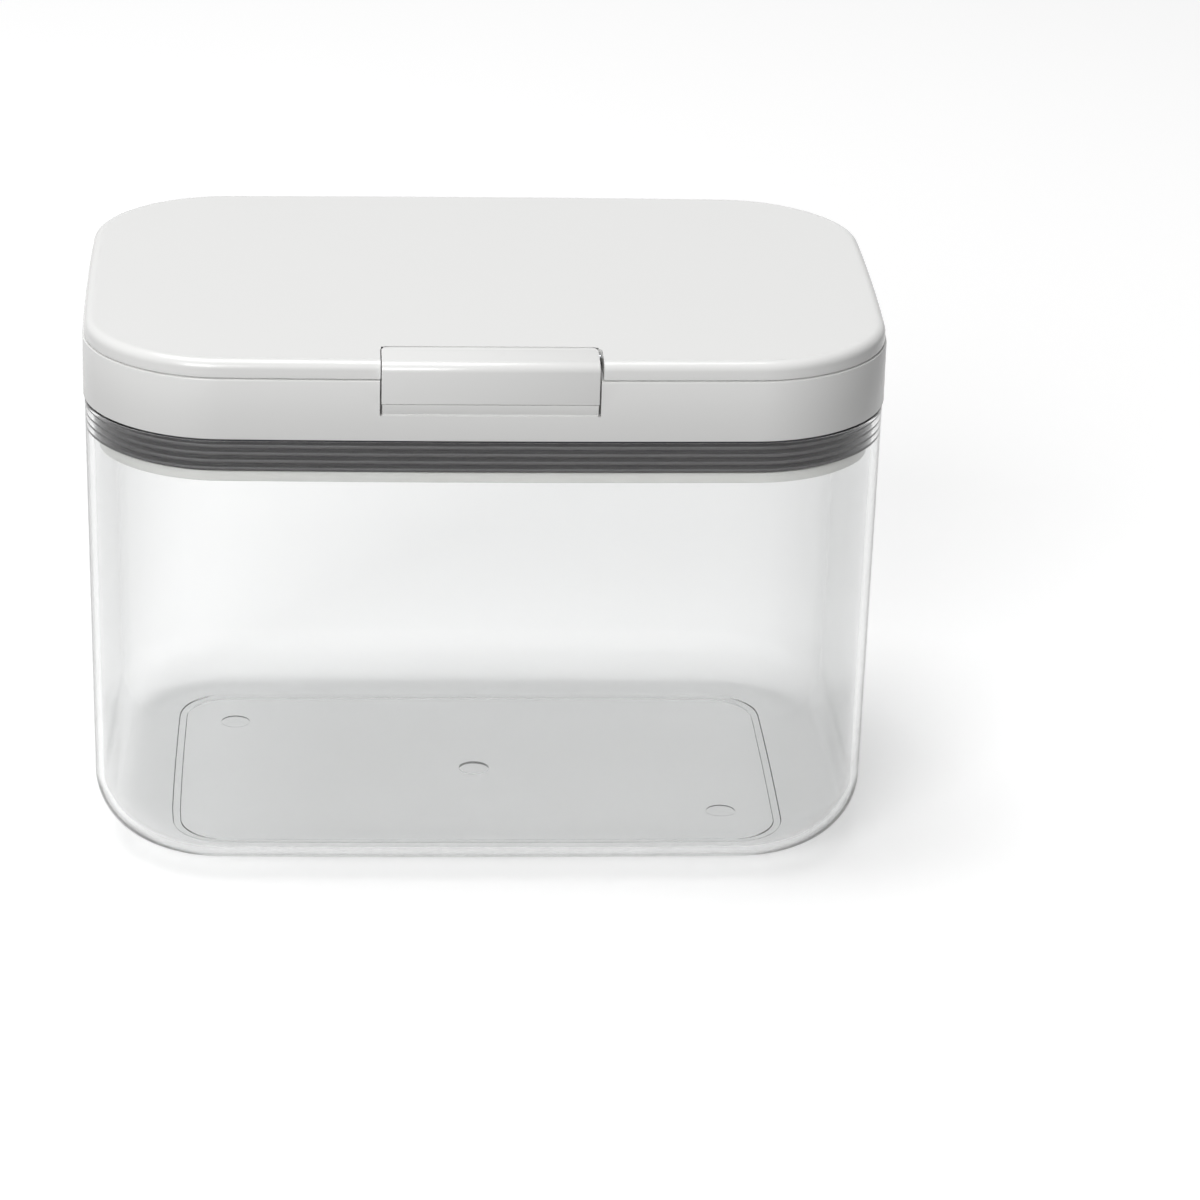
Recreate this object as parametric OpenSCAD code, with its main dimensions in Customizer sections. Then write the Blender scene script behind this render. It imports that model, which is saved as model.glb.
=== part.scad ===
// Clear storage container with a flip-top lid, standing on its foot ring.
// Millimetres. The origin is the middle of the base on the table, +Z is up and the front is -Y.

/* [Container] */
// Overall width, over the bowed ends
body_w = 254; // [230:1:290]
// Overall depth, over the bowed front and back
body_d = 171; // [156:1:200]
// Height of the container's rim above the table
rim_z = 150.4; // [120:0.2:220]
// Radius of the upright corners in plan
corner_r = 42; // [38:0.5:52]
// How far the middle of each side bows out
side_bow = 2; // [0:0.1:3]
// Thickness of the container's wall
wall = 2.6; // [2.2:0.1:2.8]
// Thickness of the container's floor
floor_t = 3; // [2:0.1:4.5]
// Lean of the wall, from the rim in to the base
draft = 1.1; // [0:0.1:2]
// How far the rim lies inside the band's face
rim_inset = 0.4; // [0.2:0.05:0.7]
// Outer radius where the wall turns into the floor
base_fillet = 21; // [14:0.5:22]
// Height of the foot ring under the floor
foot_h = 1; // [0.6:0.1:1.6]
// Width of the foot ring where it meets the table
foot_w = 2.3; // [1.6:0.1:3.5]
// Distance of the foot ring from the band's face
foot_inset = 25; // [24:0.5:28]
// Diameter of the moulding gate's dimple under the floor
gate_d = 10; // [6:0.5:14]
// Depth of the gate's dimple
gate_depth = 0.8; // [0.4:0.1:1.2]
// Diameter of the two round ejector marks on the floor
mark_d = 9.6; // [6:0.2:12]
// Depth of the ejector marks
mark_depth = 0.3; // [0.2:0.05:0.6]
// Distance of the ejector marks from the middle, along the width
mark_x = 80; // [60:1:84]
// Distance of the ejector marks from the middle, along the depth
mark_y = 36.5; // [24:0.5:40]

/* [Lid band] */
// Height of the white band
band_h = 19.5; // [18:0.1:24]
// Thickness of the band's wall
band_wall = 2.2; // [1.8:0.1:2.4]
// Thickness of the deck and of the seat ledge
deck_t = 2; // [1.6:0.1:2.4]
// Distance from the band's face to the deck's step
step_inset = 17.5; // [16.5:0.1:18.5]
// Drop of the seat ledge below the deck
seat_drop = 1.8; // [1.4:0.1:2.4]
// Distance from the band's face to the edge of the opening
opening_inset = 24; // [23.6:0.1:25]
// Radius of the moulded posts that hold the inner frame
post_r = 2; // [1.6:0.1:2.4]
// Radius of the staked peg on the end of each post
peg_r = 1.2; // [0.8:0.1:1.4]

/* [Inner frame] */
// Distance from the band's face to the frame's lower wall, which backs the seal
frame_low_inset = 8.2; // [7.6:0.1:8.8]
// Distance from the band's face to the frame's upper wall
frame_top_inset = 12.2; // [11.8:0.1:13]
// Thickness of the frame's walls
frame_wall = 2; // [1.6:0.1:2.4]
// Thickness of the frame's flange, which rests on the seal's lip
frame_flange_t = 1.8; // [1.4:0.1:2.4]
// How far the frame reaches down below the rim
frame_drop = 14.4; // [13.6:0.1:18]
// Height of the lip at the foot of the frame
strip_h = 3.4; // [2.4:0.1:4.2]
// Distance from the band's face to that lip's edge
strip_inset = 4.8; // [4.6:0.1:6]

/* [Seal] */
// Thickness of the seal's lip, clamped between rim and band
lip_t = 0.7; // [0.5:0.05:1]
// Distance from the band's face to the lip's edge
lip_inset = 0.9; // [0.8:0.1:1.4]
// Distance from the band's face to the seal's body between the ribs
seal_inset = 4.9; // [4.4:0.1:5.6]
// Number of ribs round the seal
rib_count = 4; // [3:1:4]
// Distance between the ribs
rib_pitch = 2.45; // [2:0.05:2.6]
// Thickness of a rib
rib_t = 1.1; // [0.8:0.05:1.4]
// Distance from the rim down to the middle of the first rib
rib_first = 2.2; // [1.6:0.1:2.8]
// Clearance between the ribs' edges and the container's wall
seal_clear = 0.3; // [0.25:0.05:0.5]

/* [Cover] */
// Height of the cover at its edge
cover_h = 5.6; // [5.2:0.1:7]
// Gap between the cover and the band
cover_gap = 0.4; // [0.3:0.05:0.8]
// How far the cover lies inside the band's face
cover_inset = 0.5; // [0.3:0.05:0.8]
// Radius of the cover's upper edge
cover_edge_r = 3; // [2:0.1:3.4]
// Rise of the cover's top from the edge to the middle
cover_crown = 0.4; // [0.2:0.05:1]
// Thickness of the cover's skin
cover_skin = 2.2; // [1.8:0.1:2.4]
// Thickness of the liner that closes the cover from below
liner_t = 1.6; // [1.2:0.1:2]
// Distance from the band's face to the rim that drops into the opening
plug_inset = 26; // [25.6:0.1:28]
// Thickness of that rim
plug_t = 2; // [1.6:0.1:2.6]
// How far that rim reaches down below the liner
plug_drop = 5; // [4:0.2:7]
// Distance from the band's face to the cover's seal
gasket_inset = 19.6; // [19.4:0.1:20]
// Width of the cover's seal
gasket_w = 2.8; // [2:0.1:3.2]
// Gap between the cover's seal and the seat
gasket_gap = 0.3; // [0.25:0.05:0.5]

/* [Hinge] */
// Distance from the band's back face to the hinge axis
hinge_in = 4.2; // [4:0.1:4.4]
// Distance from the cover's underside down to the hinge axis
hinge_drop = 6.2; // [6:0.1:6.6]
// Diameter of the hinge rod
rod_d = 3; // [2.5:0.1:3.4]
// Radial clearance round the hinge rod and the latch pin
pin_clear = 0.05; // [0.03:0.01:0.08]
// Outer radius of the hinge knuckles
knuckle_r = 3.2; // [2.9:0.1:3.3]
// Length of the band's knuckle in the middle
knuckle_len = 25.2; // [20:0.2:30]
// Width of each of the cover's two arms
arm_w = 24; // [16:1:28]
// Side gap between an arm and what stands beside it
arm_gap = 0.4; // [0.3:0.05:0.8]
// Room under the knuckles for the swing of the arms
swing_room = 1.8; // [1.6:0.1:2]
// Thickness of the walls of the hinge pocket
pocket_wall = 1.5; // [1.2:0.1:1.8]
// Thickness of the cheeks that carry the rod's ends
cheek_t = 3; // [2.4:0.1:4]

/* [Latch] */
// Width of the latch tab
tab_w = 67; // [50:1:80]
// How far the tab's front stands proud of the band
tab_proud = 0.9; // [0.6:0.1:1.4]
// Thickness of the tab
tab_t = 2.2; // [1.8:0.1:2.4]
// Distance from the band's top edge down to the tab's lower edge
tab_drop = 7.3; // [6.6:0.1:9]
// Distance from the band's face to the latch pin
pin_in = 14.1; // [13.6:0.1:14.4]
// Outer radius of the tab's barrel round the latch pin
barrel_r = 2.6; // [2.4:0.1:2.7]
// Diameter of the latch pin
pin_d = 1.6; // [1.4:0.1:1.8]
// Gap at each side of the tab
tab_gap = 0.5; // [0.4:0.05:0.8]
// Radius of the tab's rear corners in plan
tab_corner_r = 2.4; // [1.6:0.1:3]
// Depth of the recess behind the tab
recess_depth = 2.4; // [2.1:0.1:3]
// Thickness of the walls round the recess
recess_wall = 2.4; // [2:0.1:3]
// How far the finger cove reaches below the tab
cove_drop = 4; // [3:0.1:5]
// Width of the dark slot at each end of the cove
slot_w = 0.8; // [0.6:0.05:1.2]
// Depth of those slots
slot_depth = 4.4; // [3.6:0.1:5]
// Width of the catch rib on the tab
catch_w = 58; // [30:1:60]
// Height of the catch rib
catch_h = 1.6; // [1.2:0.1:1.8]
// How far the catch rib reaches into its groove
catch_bite = 0.3; // [0.2:0.05:0.4]
// Room round the catch rib in its groove
catch_room = 0.8; // [0.6:0.05:1]

/* [Latch springs] */
// Diameter of the spring wire
wire_d = 0.5; // [0.4:0.05:0.6]
// Radius of the coil, to the middle of the wire
coil_r = 1.35; // [1.25:0.05:1.4]
// Number of turns in a spring
coil_turns = 4; // [3:1:5]
// Advance of the wire in one turn
coil_pitch = 0.7; // [0.65:0.05:0.8]
// Distance of the springs' bays from the middle
bay_x = 25; // [18:0.5:25]
// Width of a spring's bay in the barrel
bay_w = 5; // [4.6:0.1:5.4]

/* [Hidden] */
$fn = 64;

// Facets of a rounded corner and of a bowed side in the plan outline
corner_steps = 16;
side_steps = 8;
// Facets of the fillets that a loft follows
fillet_steps = 8;
edge_steps = 4;
// How far a cut runs past the face that it opens
over = 1;
// Small gap between two pieces of the same assembly
fit_gap = 0.1;
// Gap between surfaces that pass each other as the cover or the tab turns
swing_gap = 0.3;

base_w = body_w - 2 * side_bow;
base_d = body_d - 2 * side_bow;
front_y = -body_d / 2;
back_y = body_d / 2;

foot_slope = 0.4;
floor_z = foot_h + floor_t;
base_inset = rim_inset + draft;
inner_fillet = base_fillet - wall;
rim_round = 0.4;
rim_chamfer = 0.15;

band_z = rim_z + lip_t;
band_top = band_z + band_h;
deck_z = band_top - deck_t;
seat_z = band_top - seat_drop;
flange_top = band_z + frame_flange_t;
frame_z = rim_z - frame_drop;
strip_top = frame_z + strip_h;

cover_z = band_top + cover_gap;
cover_top = cover_z + cover_h;
skin_under = cover_top - cover_skin;
liner_top = cover_z + liner_t;
liner_inset = cover_inset + cover_skin + fit_gap;
plug_z = cover_z - plug_drop;
// Rings of the crowned top, as shares of the outline, from the edge inwards
crown_steps = [0.86, 0.66, 0.44, 0.22];
// Ribs that join the liner to the cover's skin
weld_insets = [9.4, 30];
weld_w = 1.2;

hinge_y = back_y - hinge_in;
hinge_z = cover_z - hinge_drop;
rod_r = rod_d / 2;
relief_r = hinge_drop - swing_gap;
arm_x = knuckle_len / 2 + arm_gap;
pocket_x = arm_x + arm_w + arm_gap;
pocket_z = hinge_z - knuckle_r - swing_room;
pocket_y = hinge_y - knuckle_r - arm_gap;
rod_len = 2 * (pocket_x + cheek_t) - 2 * arm_gap;

pin_y = front_y + pin_in;
pin_z = cover_top - barrel_r;
pin_r = pin_d / 2;
tab_x = tab_w / 2;
tab_y = front_y - tab_proud;
tab_z = band_top - tab_drop;
tab_under = cover_top - tab_t;
// How far the tab's rear edge line and the recess's top lie beyond the pin and the tab's lower edge
line_room = 1.2;
tab_lower_r = 0.8;
tab_inner_r = 1.4;
notch_x = tab_x + tab_gap;
notch_y = pin_y + line_room + swing_gap;
notch_r = barrel_r + swing_gap;
notch_wall = 2.4;
notch_back = pin_y + notch_r + notch_wall - catch_room;
recess_top = tab_z + line_room;
cove_z = tab_z - cove_drop;
cove_rise = recess_top - cove_z;
cove_r = (cove_rise * cove_rise / recess_depth + recess_depth) / 2;
recess_y = front_y + recess_depth;
recess_back = front_y + slot_depth + recess_wall;
catch_z = recess_top + 1.5;
catch_y = recess_y + catch_bite;

// Posts stand clear of the latch recess and the hinge pocket
post_in = (band_wall + frame_top_inset) / 2;
post_places = [[base_w / 4, base_d / 2 - post_in + side_bow / 2], [base_w / 2 - post_in + side_bow, base_d / 5]];

leg_lean = 20;
leg_front = 4;
leg_back = 2.3;
eye_w = 2.2;
eye_t = 1.2;
eye_room = 0.2;
// Where the eye sits along the front leg, as a share of the leg
eye_share = 0.85;
wire_sides = 6;
coil_steps = 16;
coil_sweep = 360 * coil_turns + leg_lean;
coil_half = coil_pitch * coil_sweep / 720;
// Where the wire leaves its coil towards the front, in Y and Z from the pin, and its direction
leg_start = [coil_r * cos(-90 - leg_lean), coil_r * sin(-90 - leg_lean)];
leg_dir = [-cos(leg_lean), sin(leg_lean)];

// One corner of a rectangle with rounded corners, as an arc of points
function corner_arc(cx, cy, r, a0) =
    [for (i = [0 : corner_steps]) let (a = a0 + 90 * i / corner_steps) [cx + r * cos(a), cy + r * sin(a)]];

// The points between two corners, on the straight side
function side_points(a, b) = [for (i = [1 : side_steps - 1]) a + (b - a) * i / side_steps];

// The rounded rectangle that is bowed, before it is bowed
function flat_outline(w, d, r) =
    let (x = w / 2, y = d / 2, cx = x - r, cy = y - r)
    concat(
        corner_arc(cx, cy, r, 0), side_points([cx, y], [-cx, y]),
        corner_arc(-cx, cy, r, 90), side_points([-x, cy], [-x, -cy]),
        corner_arc(-cx, -cy, r, 180), side_points([-cx, -y], [cx, -y]),
        corner_arc(cx, -cy, r, 270), side_points([x, -cy], [x, cy]));

// The plan outline at a distance inside the band's face, with its sides bowed out
function outline(inset) =
    let (w = base_w - 2 * inset, d = base_d - 2 * inset, r = max(corner_r - inset, 3))
    [for (p = flat_outline(w, d, r))
        let (u = 2 * p[0] / w, v = 2 * p[1] / d)
        [p[0] + u * side_bow * (1 - v * v), p[1] + v * side_bow * (1 - u * u)]];

// One ring of a loft: the outline at an inset and a height, drawn in by a share
function ring(inset, z, share = 1) = [for (p = outline(inset)) [p[0] * share, p[1] * share, z]];

// A closed solid through rings of equally many points, each on top of the one before it
module loft(rings) {
    n = len(rings[0]);
    last = len(rings) - 1;
    points = [for (r = rings) for (p = r) p];
    walls = [for (k = [0 : last - 1]) for (i = [0 : n - 1])
        let (a = k * n + i, b = k * n + (i + 1) % n)
        for (t = [[a, a + n, b], [b, a + n, b + n]]) t];
    bottom = [[for (i = [0 : n - 1]) i]];
    top = [[for (i = [0 : n - 1]) last * n + n - 1 - i]];
    polyhedron(points = points, faces = concat(bottom, walls, top));
}

// An upright wall that follows the outline, between two insets
module outline_wall(outer, inner, z0, z1) {
    translate([0, 0, z0])
        linear_extrude(z1 - z0)
            difference() {
                polygon(outline(outer));
                polygon(outline(inner));
            }
}

// A block given by its lowest and highest corner
module block(low, high) {
    translate(low)
        cube(high - low);
}

// A rod along X, given by its middle, radius and half length
module rod_x(y, z, r, half) {
    translate([-half, y, z])
        rotate([0, 90, 0])
            cylinder(r = r, h = 2 * half);
}

// A flat shape in Y and Z, drawn out along X to both sides of the middle
module prism_x(half) {
    translate([-half, 0, 0])
        rotate([90, 0, 90])
            linear_extrude(2 * half)
                children();
}

// An arc of points about a centre
function arc(cx, cy, r, a0, a1, steps) =
    [for (i = [0 : steps]) let (a = a0 + (a1 - a0) * i / steps) [cx + r * cos(a), cy + r * sin(a)]];

// Inset of the container's outer wall at a height
function outer_inset(z) = rim_inset + draft * (rim_z - z) / rim_z;

module container_body() {
    color([0.9, 0.93, 0.95, 0.35]) {
        difference() {
            loft(container_rings());
            translate([0, 0, foot_h - over])
                cylinder(d = gate_d, h = gate_depth + over);
            for (s = [-1, 1])
                translate([s * mark_x, -s * mark_y, floor_z - mark_depth])
                    cylinder(d = mark_d, h = mark_depth + over);
        }
    }
}

// Underside, foot ring, outer fillet and wall, rim, then down the inside to the floor
function container_rings() = concat(
    [ring(foot_inset + foot_w + 2 * foot_slope, foot_h), ring(foot_inset + foot_w + foot_slope, 0),
        ring(foot_inset + foot_slope, 0), ring(foot_inset, foot_h)],
    [for (i = [0 : fillet_steps]) let (a = 90 * i / fillet_steps)
        ring(base_inset + base_fillet * (1 - sin(a)), foot_h + base_fillet * (1 - cos(a)))],
    [ring(rim_inset, rim_z - rim_round), ring(rim_inset + rim_round, rim_z),
        ring(rim_inset + wall - rim_chamfer, rim_z), ring(rim_inset + wall, rim_z - rim_chamfer)],
    [for (i = [0 : fillet_steps]) let (a = 90 * i / fillet_steps)
        ring(base_inset + wall + inner_fillet * (1 - cos(a)), floor_z + inner_fillet * (1 - sin(a)))]);

module lid_band() {
    color([0.93, 0.93, 0.92])
        difference() {
            union() {
                outline_wall(0, band_wall, band_z, band_top);
                outline_wall(0, step_inset, deck_z, band_top);
                outline_wall(step_inset - deck_t, opening_inset, seat_z - deck_t, seat_z);
                latch_box();
                hinge_box();
                frame_posts();
            }
            latch_recess();
            hinge_relief();
        }
}

// The thick wall that carries the latch recess
module latch_box() {
    block([-notch_x - recess_wall, front_y + band_wall / 2, cove_z - recess_wall],
        [notch_x + recess_wall, recess_back, deck_z + deck_t / 2]);
}

// The recess behind the tab, the finger cove under it, the end slots and the groove for the catch
module latch_recess() {
    block([-notch_x, front_y - over, recess_top], [notch_x, recess_y, band_top + over]);
    rod_x(recess_y - cove_r, recess_top, cove_r, notch_x);
    for (s = [-1, 1])
        translate([s * (notch_x - slot_w / 2), 0, 0])
            block([-slot_w / 2, front_y - over, cove_z], [slot_w / 2, front_y + slot_depth, band_top + over]);
    block([-catch_w / 2 - catch_room, recess_y - over, catch_z - catch_room / 2],
        [catch_w / 2 + catch_room, catch_y + catch_room, catch_z + catch_h + catch_room]);
}

// The pocket at the back, its cheeks and the fixed knuckle
module hinge_box() {
    outer_x = pocket_x + cheek_t;
    difference() {
        union() {
            difference() {
                block([-outer_x, pocket_y - pocket_wall, pocket_z - pocket_wall],
                    [outer_x, back_y - band_wall / 2, deck_z + deck_t / 2]);
                block([-pocket_x, pocket_y, pocket_z], [pocket_x, back_y + over, band_top + over]);
            }
            block([-knuckle_len / 2, hinge_y - knuckle_r, pocket_z - pocket_wall / 2],
                [knuckle_len / 2, hinge_y + knuckle_r, hinge_z]);
            rod_x(hinge_y, hinge_z, knuckle_r, knuckle_len / 2);
        }
        rod_x(hinge_y, hinge_z, rod_r + pin_clear, outer_x + over);
    }
}

// What the band's back edge gives way to: the pocket's mouth, and the sweep of the cover's edge
module hinge_relief() {
    difference() {
        block([-pocket_x, pocket_y, pocket_z], [pocket_x, back_y + over, band_top + over]);
        block([-knuckle_len / 2, hinge_y - knuckle_r - over, pocket_z - over],
            [knuckle_len / 2, hinge_y + knuckle_r, hinge_z]);
        rod_x(hinge_y, hinge_z, knuckle_r, knuckle_len / 2);
    }
    difference() {
        block([-body_w / 2, hinge_y, hinge_z], [body_w / 2, back_y + over, band_top + over]);
        rod_x(hinge_y, hinge_z, relief_r, body_w / 2 + over);
    }
}

// The four mirror images of each place
module at_each(places) {
    for (p = places)
        for (sx = [-1, 1])
            for (sy = [-1, 1])
                translate([sx * p[0], sy * p[1], 0])
                    children();
}

module frame_posts() {
    at_each(post_places) {
        translate([0, 0, flange_top])
            cylinder(r = post_r, h = deck_z + deck_t / 2 - flange_top);
        translate([0, 0, band_z])
            cylinder(r = peg_r, h = frame_flange_t + over);
    }
}

module inner_frame() {
    color([0.88, 0.88, 0.87])
        difference() {
            union() {
                outline_wall(frame_low_inset, frame_low_inset + frame_wall, frame_z, flange_top);
                outline_wall(strip_inset, frame_low_inset + frame_wall, frame_z, strip_top);
                outline_wall(band_wall + fit_gap, frame_top_inset + frame_wall, band_z, flange_top);
                outline_wall(frame_top_inset, frame_top_inset + frame_wall, band_z, seat_z - deck_t);
            }
            at_each(post_places)
                translate([0, 0, band_z - over])
                    cylinder(r = peg_r + fit_gap, h = frame_flange_t + 2 * over);
        }
}

module lid_seal() {
    color([0.33, 0.33, 0.34])
        union() {
            outline_wall(lip_inset, frame_low_inset, rim_z, band_z);
            outline_wall(seal_inset, frame_low_inset, strip_top, rim_z);
            for (i = [0 : rib_count - 1])
                let (z = rim_z - rib_first - i * rib_pitch)
                outline_wall(outer_inset(z - rib_t / 2) + wall + seal_clear, frame_low_inset,
                    z - rib_t / 2, z + rib_t / 2);
        }
}

module hinge_rod() {
    color([0.75, 0.76, 0.78])
        rod_x(hinge_y, hinge_z, rod_r, rod_len / 2);
}

// The cover's outer form: upright edge, rounded top edge and slightly crowned top
function cover_rings() = concat(
    [ring(cover_inset, cover_z)],
    [for (i = [0 : edge_steps]) let (a = 90 * i / edge_steps)
        ring(cover_inset + cover_edge_r * (1 - cos(a)), cover_top - cover_edge_r * (1 - sin(a)))],
    [for (f = crown_steps) ring(cover_inset + cover_edge_r, cover_top + cover_crown * (1 - f * f), f)]);

// The hollow under the skin
function hollow_rings() =
    let (r = max(cover_edge_r - cover_skin, fit_gap), s = cover_inset + cover_skin)
    [ring(s, cover_z - over), ring(s, skin_under - r), ring(s + r, skin_under)];

module cover_shell() {
    color([0.95, 0.95, 0.94])
        difference() {
            loft(cover_rings());
            difference() {
                loft(hollow_rings());
                block([-notch_x - notch_wall, front_y, cover_z - 2 * over],
                    [notch_x + notch_wall, notch_back, cover_top + over]);
            }
            tab_notch();
            rod_x(pin_y, pin_z, pin_r + pin_clear, notch_x + notch_wall + over);
        }
}

// The notch in the cover's front edge, with the round hollow in which the tab's barrel turns
module tab_notch() {
    block([-notch_x, front_y - over, cover_z - over], [notch_x, notch_y, cover_top + cover_crown + over]);
    rod_x(pin_y, pin_z, notch_r, notch_x);
    block([-notch_x, pin_y - over, cover_z - over], [notch_x, pin_y + notch_r, pin_z]);
}

module cover_liner() {
    room = 2 * fit_gap;
    color([0.9, 0.9, 0.89])
        difference() {
            union() {
                translate([0, 0, cover_z])
                    linear_extrude(liner_t)
                        polygon(outline(liner_inset));
                outline_wall(plug_inset, plug_inset + plug_t, plug_z, liner_top);
                for (s = weld_insets)
                    outline_wall(s, s + weld_w, cover_z, skin_under);
                hinge_arms();
            }
            block([-notch_x - notch_wall - room, front_y - over, cover_z - over],
                [notch_x + notch_wall + room, notch_back + room, cover_top]);
            rod_x(hinge_y, hinge_z, rod_r + pin_clear, pocket_x);
        }
}

// The two arms that hang from the liner and turn on the rod
module hinge_arms() {
    for (s = [-1, 1])
        translate([s * (arm_x + arm_w / 2), 0, 0]) {
            rod_x(hinge_y, hinge_z, knuckle_r, arm_w / 2);
            block([-arm_w / 2, hinge_y - knuckle_r, hinge_z], [arm_w / 2, hinge_y + knuckle_r, cover_z]);
            block([-arm_w / 2, hinge_y - knuckle_r, hinge_z], [arm_w / 2, hinge_y + fit_gap, liner_top]);
        }
}

module cover_seal() {
    color([0.33, 0.33, 0.34])
        outline_wall(gasket_inset, gasket_inset + gasket_w, seat_z + gasket_gap, cover_z);
}

module latch_pin() {
    color([0.75, 0.76, 0.78])
        rod_x(pin_y, pin_z, pin_r, notch_x + notch_wall - fit_gap);
}

// Side view of the tab: top plate, rounded front edge and front plate
function tab_profile() = concat(
    [[pin_y, tab_under], [pin_y, cover_top]],
    arc(tab_y + cover_edge_r, cover_top - cover_edge_r, cover_edge_r, 90, 180, fillet_steps),
    arc(tab_y + tab_lower_r, tab_z + tab_lower_r, tab_lower_r, 180, 270, edge_steps),
    [[tab_y + tab_t, tab_z]],
    arc(tab_y + tab_t + tab_inner_r, tab_under - tab_inner_r, tab_inner_r, 180, 90, edge_steps));

module latch_tab() {
    color([0.95, 0.95, 0.94])
        difference() {
            union() {
                prism_x(tab_x)
                    polygon(tab_profile());
                rod_x(pin_y, pin_z, barrel_r, tab_x);
                block([-catch_w / 2, tab_y + tab_t / 2, catch_z], [catch_w / 2, catch_y, catch_z + catch_h]);
                for (s = [-1, 1])
                    translate([s * (bay_x + bay_w / 2) - coil_half, 0, 0])
                        spring_eye();
            }
            rod_x(pin_y, pin_z, pin_r + pin_clear, tab_x + over);
            for (s = [-1, 1])
                translate([s * (bay_x + bay_w / 2), 0, 0])
                    spring_bay();
            tab_corners();
        }
}

// The rounding of the two rear corners
module tab_corners() {
    for (s = [-1, 1])
        translate([s * (tab_x - tab_corner_r), pin_y + barrel_r - tab_corner_r, pin_z - 2 * barrel_r])
            difference() {
                translate([s > 0 ? 0 : -tab_corner_r - over, 0, 0])
                    cube([tab_corner_r + over, tab_corner_r + over, 4 * barrel_r]);
                translate([0, 0, -over])
                    cylinder(r = tab_corner_r, h = 4 * barrel_r + 2 * over);
            }
}

// The small lug under the tab's plate, with the eye that holds the spring's front leg
module spring_eye() {
    eye = leg_start + leg_front * eye_share * leg_dir;
    difference() {
        block([-eye_w / 2, pin_y + eye[0] - eye_t / 2, pin_z + eye[1] - eye_w / 2],
            [eye_w / 2, pin_y + eye[0] + eye_t / 2, tab_under + tab_t / 2]);
        translate([0, pin_y + eye[0], pin_z + eye[1]])
            rotate([90 - leg_lean, 0, 0])
                cylinder(r = wire_d / 2 + eye_room, h = 2 * eye_t, center = true);
    }
}

// The bay cut into the barrel for a spring
module spring_bay() {
    front = pin_y - barrel_r - eye_room;
    rod_x(pin_y, pin_z, coil_r + wire_d / 2 + swing_gap, bay_w / 2);
    block([-bay_w / 2, front, pin_z - barrel_r - over], [bay_w / 2, pin_y + barrel_r + over, pin_z - coil_r / 2]);
    block([-bay_w / 2, front, pin_z - barrel_r - over], [bay_w / 2, pin_y, tab_under]);
}

// The wire's cross-section at a point, with one axis along X and the other given
function wire_ring(p, a) =
    [for (k = [0 : wire_sides - 1]) let (t = 360 * k / wire_sides)
        [p[0] + wire_d / 2 * cos(t), p[1] + wire_d / 2 * sin(t) * cos(a), p[2] + wire_d / 2 * sin(t) * sin(a)]];

// A torsion spring: front leg, coil about the pin, rear leg
module spring() {
    n = coil_steps * coil_turns + 1;
    a0 = -90 - leg_lean;
    tip = leg_start + leg_front * leg_dir;
    rings = concat(
        [wire_ring([-coil_half, tip[0], tip[1]], a0)],
        [for (i = [0 : n]) let (a = a0 + coil_sweep * i / n)
            wire_ring([coil_half * (2 * i / n - 1), coil_r * cos(a), coil_r * sin(a)], a)],
        [wire_ring([coil_half, leg_back, -coil_r], -90)]);
    translate([0, pin_y, pin_z])
        loft(rings);
}

module latch_spring_left() {
    color([0.75, 0.76, 0.78])
        translate([-bay_x - bay_w / 2, 0, 0])
            spring();
}

module latch_spring_right() {
    color([0.75, 0.76, 0.78])
        translate([bay_x + bay_w / 2, 0, 0])
            spring();
}

container_body();
lid_band();
inner_frame();
lid_seal();
hinge_rod();
cover_shell();
cover_liner();
cover_seal();
latch_pin();
latch_tab();
latch_spring_left();
latch_spring_right();
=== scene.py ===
"""A clear storage container with a white flip-top lid, in a plain studio."""

from math import cos, pi, radians, sin

import bmesh
import bpy
from mathutils import Matrix, Vector


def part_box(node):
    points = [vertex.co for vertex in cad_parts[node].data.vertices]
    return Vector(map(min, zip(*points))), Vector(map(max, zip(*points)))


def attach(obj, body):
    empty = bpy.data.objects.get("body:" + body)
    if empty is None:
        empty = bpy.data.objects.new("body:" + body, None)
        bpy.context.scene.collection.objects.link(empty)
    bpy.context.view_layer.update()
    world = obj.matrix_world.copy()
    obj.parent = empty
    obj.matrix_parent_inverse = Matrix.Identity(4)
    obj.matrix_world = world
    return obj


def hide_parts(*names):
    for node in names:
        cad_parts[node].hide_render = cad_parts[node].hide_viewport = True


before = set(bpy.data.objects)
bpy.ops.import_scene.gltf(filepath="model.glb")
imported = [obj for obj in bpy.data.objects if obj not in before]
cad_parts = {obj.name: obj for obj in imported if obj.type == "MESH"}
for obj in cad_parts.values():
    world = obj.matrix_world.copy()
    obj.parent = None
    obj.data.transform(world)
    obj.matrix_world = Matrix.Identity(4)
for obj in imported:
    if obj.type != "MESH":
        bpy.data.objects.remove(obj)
bpy.ops.object.select_all(action="DESELECT")
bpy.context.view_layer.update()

MM = 0.001

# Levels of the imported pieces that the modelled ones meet
RIM_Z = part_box("container_body")[1].z
BAND_LOW, BAND_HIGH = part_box("lid_band")
TAB_LOW, TAB_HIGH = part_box("latch_tab")
ROD_LOW, ROD_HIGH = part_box("hinge_rod")
PIN_LOW, PIN_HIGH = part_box("latch_pin")

# Plan outline at the band's face: a rounded rectangle whose sides bow out
SIDE_BOW = 2 * MM
PLAN_W = BAND_HIGH.x - BAND_LOW.x - 2 * SIDE_BOW
PLAN_D = BAND_HIGH.y - BAND_LOW.y - 2 * SIDE_BOW
CORNER_R = 42 * MM
CORNER_STEPS = 24
SIDE_STEPS = 16
SHORTEST_SIDE = 20 * MM
FRONT_Y = BAND_LOW.y
BACK_Y = BAND_HIGH.y
# Narrow flat strip beside a rounded edge, which keeps the large faces flat
STRIP = 1.2 * MM
NEAR = 0.01 * MM

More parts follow.
